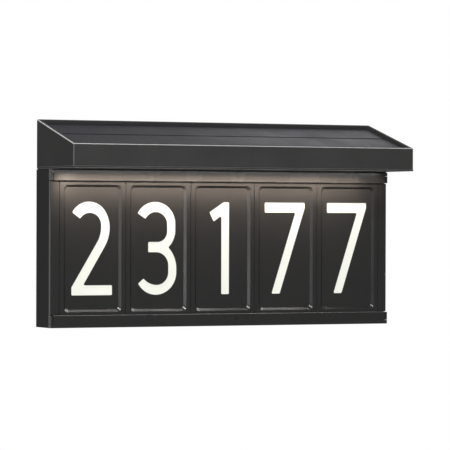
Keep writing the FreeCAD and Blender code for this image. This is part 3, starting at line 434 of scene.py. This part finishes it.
def placed(name, single, places, material, body):
    """One piece made of the same small mesh at several places, riding on a body."""
    whole = bmesh.new()
    for place in places:
        before = len(whole.verts)
        whole.from_mesh(single)
        whole.verts.ensure_lookup_table()
        bmesh.ops.transform(whole, matrix=place, verts=whole.verts[before:])
    mesh = bpy.data.meshes.new(name)
    whole.to_mesh(mesh)
    whole.free()
    mesh.set_sharp_from_angle(angle=crease)
    mesh.materials.append(material)
    piece = bpy.data.objects.new(name, mesh)
    bpy.context.scene.collection.objects.link(piece)
    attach(piece, body)
    return piece


head_radius, head_height = 0.0028, 0.0012


def pan_screw(length):
    """A pan head screw with a cross recess; its head stands on the origin and its point is down."""
    thread, core, neck, tip, pitch, point = 0.0015, 0.00124, 0.0013, 0.0006, 0.0009, 0.0012
    turns = int((length - 2 * point) / pitch)
    profile = [(0, -length), (tip, -length)]
    for turn in range(turns):
        height = -length + point + turn * pitch
        profile += [(core, height), (thread, height + pitch / 2)]
    profile += [(neck, -0.0006), (neck, 0), (0.0027, 0), (head_radius, 0.0002),
                (head_radius, 0.0006), (0.00262, 0.00095), (0.0021, 0.00115), (0.0015, head_height)]
    shape = spun(profile, 24)
    recess_radius, arm_half_width, recess_floor = 0.00138, 0.00032, 0.0005
    rim = [edge for edge in shape.edges if edge.is_boundary]
    for scale, height in ((1.0, head_height), (0.5, recess_floor)):
        made = bmesh.ops.extrude_edge_only(shape, edges=rim)["geom"]
        rim = [item for item in made if isinstance(item, bmesh.types.BMEdge)]
        for vert in [item for item in made if isinstance(item, bmesh.types.BMVert)]:
            angle = math.atan2(vert.co.y, vert.co.x)
            off_arm = abs((angle + math.pi / 4) % (math.pi / 2) - math.pi / 4)
            reach = min(recess_radius, arm_half_width / max(math.sin(off_arm), 0.01)) * scale
            vert.co = (reach * math.cos(angle), reach * math.sin(angle), height)
        rim = [edge for edge in rim if edge.is_boundary]
    return finished_mesh("pan screw", shape)


low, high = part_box("back_screws")
facing_wall = Matrix.Rotation(-math.pi / 2, 4, "X")
half = high.x - head_radius
places = [Matrix.Translation((-half + 2 * half * k / 3, high.y - head_height, z)) @ facing_wall
          for k in range(4) for z in (low.z + head_radius, high.z - head_radius)]
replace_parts(placed("back_cover_screws", pan_screw(0.0100), places, screw_zinc, "sign"),
            "back_screws")

low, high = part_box("canopy_screws")
facing_down = Matrix.Rotation(math.pi, 4, "X")
half = high.x - head_radius
places = [Matrix.Translation((-half + 2 * half * k / 3, y, low.z + head_height)) @ facing_down
          for k in range(4) for y in (low.y + head_radius, high.y - head_radius)]
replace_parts(placed("canopy_base_screws", pan_screw(0.0058), places, screw_zinc, "sign"),
            "canopy_screws")

low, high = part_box("joining_screws")
half = high.x - head_radius
places = [Matrix.Translation((-half + 2 * half * k / 3, (low.y + high.y) / 2, high.z - head_height))
          for k in range(4)]
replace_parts(placed("canopy_joining_screws", pan_screw(0.0090), places, screw_zinc, "sign"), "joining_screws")

# ---- Wall bracket ----
# A bent plate of zinc-plated steel, screwed flat to the wall through four holes. Its two hooks
# stand up behind the sign's back cover and carry the sign by the cover's hangers.
finish_node("wall_bracket", bare_metal("bracket zinc", (0.60, 0.61, 0.62), 0.36))

# ---- Canopy ----
# The canopy shell and the plate that closes it from below, both black ABS with a fine satin
# grain. Painted highlights in pale grey run along their rounded edges, brightest along the top
# and underneath; the plate's own edge shows as one, a thin light line under the fascia.
roof_rise, canopy_depth = 0.0277, 0.1017
slope = math.atan2(roof_rise, canopy_depth)
down_roof, off_roof = (0, math.cos(slope), math.sin(slope)), (0, -math.sin(slope), math.cos(slope))
canopy_faces = square_faces + [off_roof, down_roof, tuple(-way for way in down_roof)]
canopy_plastic = moulded_plastic("canopy plastic", (0.0450, 0.0448, 0.0444), 0.5, 0.0003, 0.002, 0.8,
                                 flats=canopy_faces, upright_highlight=0.12, top_highlight=0.55, under_highlight=0.45)
finish_node("canopy_shell", canopy_plastic)
finish_node("canopy_base", canopy_plastic)

# ---- Solar panel ----
# Eighteen dark cells in two rows laminated under etched low-glare glass, on a black back sheet,
# in a tray in the roof. The film that bonds them fills the glass from below, so the panel reads
# as one dark violet-grey sheet with the gaps and the collector lines of the cells faint in it.
def stripes(tree, along, pitch, width):
    """1 on lines of a width, a pitch apart, along one coordinate."""
    return maths(tree, "LESS_THAN", maths(tree, "PINGPONG", along, pitch / 2), width / 2)


def band(tree, along, middle, width):
    """1 on one line of a width, across one coordinate."""
    off = maths(tree, "ABSOLUTE", maths(tree, "SUBTRACT", along, middle))
    return maths(tree, "LESS_THAN", off, width / 2)


low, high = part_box("solar_cells")
columns_of_cells, cell_gap, collector_pitch, collector_width = 9, 0.0012, 0.0145, 0.0009
cell_pitch = (high.x - low.x + cell_gap) / columns_of_cells
laminate, tree, shader, place = finish_of("laminated panel")
axes = part(tree, "SeparateXYZ", Vector=place)
film = part(tree, "TexNoise", Vector=place, Scale=30.0, Detail=4.0)["Fac"]
sheet_tone = between(tree, ranged(tree, film, *noise_span, 0, 1), (0.018, 0.018, 0.022),
                     (0.023, 0.023, 0.028))
row_gap_width, faintness = 0.0032, 0.12
row_gap = band(tree, axes["Y"], (low.y + high.y) / 2, row_gap_width)
columns = maths(tree, "SUBTRACT", axes["X"], low.x - cell_gap / 2)
column_gaps = stripes(tree, columns, cell_pitch, cell_gap)
gaps = maths(tree, "MAXIMUM", row_gap, maths(tree, "MULTIPLY", column_gaps, faintness))
collectors = stripes(tree, axes["Y"], collector_pitch, collector_width)
collectors = maths(tree, "MULTIPLY", collectors, faintness)
tone = between(tree, collectors, sheet_tone, (0.10, 0.10, 0.105))
tree.links.new(between(tree, gaps, tone, (0.012, 0.012, 0.014)), shader.inputs["Base Color"])
etched = ranged(tree, film, *noise_span, 0.42, 0.5)
tree.links.new(maths(tree, "MULTIPLY_ADD", gaps, 0.4, etched), shader.inputs["Roughness"])
shader.inputs["Specular IOR Level"].default_value = 0.012
prism = part(tree, "TexNoise", Vector=place, Scale=1500.0, Detail=1.0)["Fac"]
tree.links.new(part(tree, "Bump", Strength=0.15, Distance=0.00003, Height=prism)["Normal"],
               shader.inputs["Normal"])
finish_node("solar_glass", laminate)

silicon, tree, shader, place = finish_of("silicon")
axes = part(tree, "SeparateXYZ", Vector=place)
fingers = stripes(tree, axes["Y"], 0.0016, 0.00012)
buses = stripes(tree, axes["X"], collector_pitch, collector_width)
metal = maths(tree, "MAXIMUM", fingers, buses)
crystal = part(tree, "TexNoise", Vector=place, Scale=25.0, Detail=3.0)["Fac"]
wafer = between(tree, ranged(tree, crystal, *noise_span, 0, 1), (0.006, 0.007, 0.014),
                (0.011, 0.012, 0.024))
tree.links.new(between(tree, metal, wafer, (0.16, 0.16, 0.17)), shader.inputs["Base Color"])
tree.links.new(ranged(tree, metal, 0, 1, 0.3, 0.45), shader.inputs["Roughness"])
finish_node("solar_cells", silicon)
finish_node("solar_backsheet",
            moulded_plastic("back sheet", (0.012, 0.012, 0.013), 0.5, 0.0006, 0.3, 0.1))

# ---- Downlight ----
# An opal strip in a slot of the base plate throws warm light down over the rail and the tops
# of the tiles; its lamps are strongest on the left and die away towards the right end. One more
# lamp along the whole strip shows in reflections only.
downlight_opal, tree, shader, place = finish_of("downlight opal")
painted_glow_along = part(tree, "SeparateXYZ", Vector=place)["X"]
drift = part(tree, "TexNoise", Vector=place, Scale=40.0, Detail=3.0)["Fac"]
tree.links.new(between(tree, drift, (0.55, 0.50, 0.42), (0.62, 0.57, 0.49)),
               shader.inputs["Base Color"])
tree.links.new(ranged(tree, drift, *noise_span, 0.3, 0.42), shader.inputs["Roughness"])
# Painted glow: the strip gives light of its own, full over most of its length and fading over the right end.
shader.inputs["Emission Color"].default_value = (1.0, 0.93, 0.86, 1)
tree.links.new(ranged(tree, painted_glow_along, 0.10, 0.19, 2.6, 0.5), shader.inputs["Emission Strength"])
finish_node("downlight_lens", downlight_opal)

low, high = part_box("downlight_lens")
strip_y, lamp_z = (low.y + high.y) / 2, low.z - 0.002
lamp_watts_per_metre, lamp_width, lamp_aim = 0.145 / 0.09, 0.004, Vector((0, 0.05, -0.062))
lamp_spans = ((-0.194, -0.176, 1.5), (-0.176, -0.1, 0.88), (-0.1, -0.01, 0.93), (-0.01, 0.075, 0.9),
              (0.075, 0.13, 0.88), (0.13, 0.165, 0.62), (0.165, 0.194, 0.17))
for k, (start, end, power) in enumerate(lamp_spans):
    middle = Vector(((start + end) / 2, strip_y, lamp_z))
    glow = soft_lamp(f"downlight lamp {k + 1}", middle, middle + lamp_aim, end - start, lamp_width,
                     lamp_watts_per_metre * power * (end - start), (1.0, 0.82, 0.68))
    glow.data.spread = math.radians(80)
    glow.visible_camera = False
    glow.visible_glossy = False
    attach(glow, "sign")
middle = Vector((0, strip_y, lamp_z))
glint = soft_lamp("downlight glint", middle, middle - Vector((0, 0, 0.05)), high.x - low.x, 0.008, 0.5,
                  (1.0, 0.985, 0.97))
glint.visible_camera = False
glint.visible_diffuse = False
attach(glint, "sign")

# ---- Battery ----
# Two round cells end to end in a black cradle on the base plate, with a spring contact at each
# end; the door below them slides to come off.
cell_wrap, tree, shader, place = finish_of("cell wrap")
along = part(tree, "SeparateXYZ", Vector=place)["X"]
shrink = part(tree, "TexNoise", Vector=place, Scale=120.0, Detail=4.0)["Fac"]
sleeve = between(tree, shrink, (0.03, 0.16, 0.30), (0.04, 0.20, 0.36))
rings = stripes(tree, along, 0.066, 0.004)
tree.links.new(between(tree, rings, sleeve, (0.55, 0.56, 0.56)), shader.inputs["Base Color"])
tree.links.new(ranged(tree, shrink, *noise_span, 0.22, 0.36), shader.inputs["Roughness"])
cell_length, tip_length = 0.0650, 0.0010
cell = spun([(0, 0), (0.0088, 0), (0.0092, 0.0004), (0.0092, 0.0612), (0.0088, 0.0617), (0.0088, 0.0625),
             (0.0092, 0.0630), (0.0092, 0.0645), (0.0087, cell_length), (0.0034, cell_length),
             (0.0030, 0.0653), (0.0028, 0.0660), (0, 0.0660)], 48)
low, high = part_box("battery_cells")
lying = Matrix.Rotation(math.pi / 2, 4, "Y")
places = [Matrix.Translation((low.x + k * (cell_length + tip_length), (low.y + high.y) / 2,
                              (low.z + high.z) / 2)) @ lying for k in range(2)]
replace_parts(placed("round_cells", finished_mesh("round cell", cell), places, cell_wrap, "sign"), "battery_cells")
finish_node("battery_holder", moulded_plastic("holder plastic", (0.02, 0.02, 0.02), 0.5, 0.0004))
finish_node("battery_door", moulded_plastic("door plastic", (0.016, 0.016, 0.0162), 0.5, 0.0003, 0.35))

spring_nickel = bare_metal("nickel spring", (0.66, 0.63, 0.58), 0.3)
low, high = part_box("battery_contacts")
wire, coil, turns, run, steps = 0.00025, 0.0036, 4, 0.0024, 96
plate_thickness, plate_side, plate_corner = 0.0005, 0.012, 0.0015
contact = bmesh.new()
ring = bmesh.ops.create_circle(contact, segments=8, radius=wire)["verts"]
bmesh.ops.translate(contact, vec=(plate_thickness + wire, coil, 0), verts=ring)
bmesh.ops.spin(contact, geom=ring + list({edge for vert in ring for edge in vert.link_edges}),
               cent=(0, 0, 0), axis=(1, 0, 0), dvec=(run / steps, 0, 0), angle=2 * math.pi * turns,
               steps=steps, use_merge=False)
plate = bmesh.ops.create_cube(contact, size=1.0)["verts"]
bmesh.ops.scale(contact, vec=(plate_thickness, plate_side, plate_side), verts=plate)
bmesh.ops.translate(contact, vec=(plate_thickness / 2, 0, 0), verts=plate)
corners = [edge for edge in {edge for vert in plate for edge in vert.link_edges}
           if abs(edge.verts[0].co.x - edge.verts[1].co.x) > 0.0004]
bmesh.ops.bevel(contact, geom=corners, offset=plate_corner, segments=4, profile=0.5,
                affect="EDGES", material=-1)
middle = ((low.y + high.y) / 2, (low.z + high.z) / 2)
places = [Matrix.Translation((low.x, *middle)),
          Matrix.Translation((high.x, *middle)) @ Matrix.Rotation(math.pi, 4, "Z")]
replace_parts(placed("spring_contacts", finished_mesh("spring contact", contact), places, spring_nickel,
                   "sign"), "battery_contacts")


def bevelled_bar(name, length, width, height, edge):
    """A low bar with all its edges rounded, standing down from the origin."""
    shape = bmesh.new()
    corners = bmesh.ops.create_cube(shape, size=1.0)["verts"]
    bmesh.ops.scale(shape, vec=(length, width, height), verts=corners)
    bmesh.ops.translate(shape, vec=(0, 0, -height / 2), verts=corners)
    bmesh.ops.bevel(shape, geom=shape.edges[:], offset=edge, segments=3, profile=0.5, affect="EDGES",
                    material=-1)
    return finished_mesh(name, shape)


low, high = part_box("battery_door")
grip_count, grip_pitch, grip_inset = 7, 0.0030, 0.0085
places = [Matrix.Translation((high.x - grip_inset - k * grip_pitch, (low.y + high.y) / 2, low.z))
          for k in range(grip_count)]
placed("battery_door_grip", bevelled_bar("grip rib", 0.0011, 0.0130, 0.0006, 0.0002), places,
       nodes["battery_door"].material_slots[0].material, "battery_door")

# ---- Control board, switch and button ----
# A green circuit board on four legs with a few components; a push switch hangs under it, and
# the rubbery power button below comes through the base plate.
board_green, tree, shader, place = finish_of("green board")
mottle = part(tree, "TexNoise", Vector=place, Scale=200.0, Detail=4.0)["Fac"]
routes = part(tree, "TexBrick", {"offset": 0.3}, Vector=place, Scale=160.0, Mortar_Size=0.05,
              Color1=(0.010, 0.075, 0.030, 1), Color2=(0.014, 0.095, 0.040, 1),
              Mortar=(0.030, 0.150, 0.060, 1))["Color"]
tree.links.new(between(tree, ranged(tree, mottle, 0.55, 0.7, 0, 1), routes, (0.012, 0.06, 0.028)),
               shader.inputs["Base Color"])
tree.links.new(ranged(tree, mottle, *noise_span, 0.25, 0.4), shader.inputs["Roughness"])
finish_node("control_board", board_green)
chip_black = moulded_plastic("chip epoxy", (0.018, 0.018, 0.02), 0.45, 0.0002, 0.4, 0.2)
finish_node("board_components", chip_black)
finish_node("button_switch", chip_black)
finish_node("switch_plunger", white_styrene)
button_rubber = soft_rubber("button rubber", (0.022, 0.022, 0.023))
finish_node("power_button", button_rubber)
low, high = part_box("power_button")
mark = bmesh.new()
ring_sweep, ring_turn = math.radians(290), math.radians(125)
ring_outline = ((0.0025, 0), (0.0025, -0.0002), (0.0026, -0.0003), (0.0030, -0.0003),
                (0.0031, -0.0002), (0.0031, 0))
section = [mark.verts.new((radius, 0, height)) for radius, height in ring_outline]
outline = [mark.edges.new(pair) for pair in zip(section, section[1:] + section[:1])]
bmesh.ops.spin(mark, geom=section + outline, cent=(0, 0, 0), axis=(0, 0, 1), dvec=(0, 0, 0),
               angle=ring_sweep, steps=36, use_merge=False)
bmesh.ops.rotate(mark, verts=mark.verts[:], cent=(0, 0, 0),
                 matrix=Matrix.Rotation(ring_turn, 3, "Z"))
centre = Matrix.Translation(((low.x + high.x) / 2, (low.y + high.y) / 2, low.z))
placed("button_ring_mark", finished_mesh("button ring", mark), [centre], button_rubber,
       "power_button")
placed("button_bar_mark", bevelled_bar("button bar", 0.0006, 0.0026, 0.0003, 0.0001),
       [centre @ Matrix.Translation((0, 0.0022, 0))], button_rubber, "power_button")

# ---- Leads ----
# Four short insulated wires inside the canopy join the boards, the panel and the battery:
# copper strand in a red PVC jacket, soldered at both ends.
lead_jacket, tree, shader, place = finish_of("lead jacket")
sheen = part(tree, "TexNoise", Vector=place, Scale=250.0, Detail=3.0)["Fac"]
tree.links.new(between(tree, sheen, (0.30, 0.012, 0.010), (0.38, 0.020, 0.016)),
               shader.inputs["Base Color"])
tree.links.new(ranged(tree, sheen, *noise_span, 0.35, 0.5), shader.inputs["Roughness"])
for name in ("solar_lead", "backlight_lead", "downlight_lead", "battery_lead"):
    finish_node(name, lead_jacket)
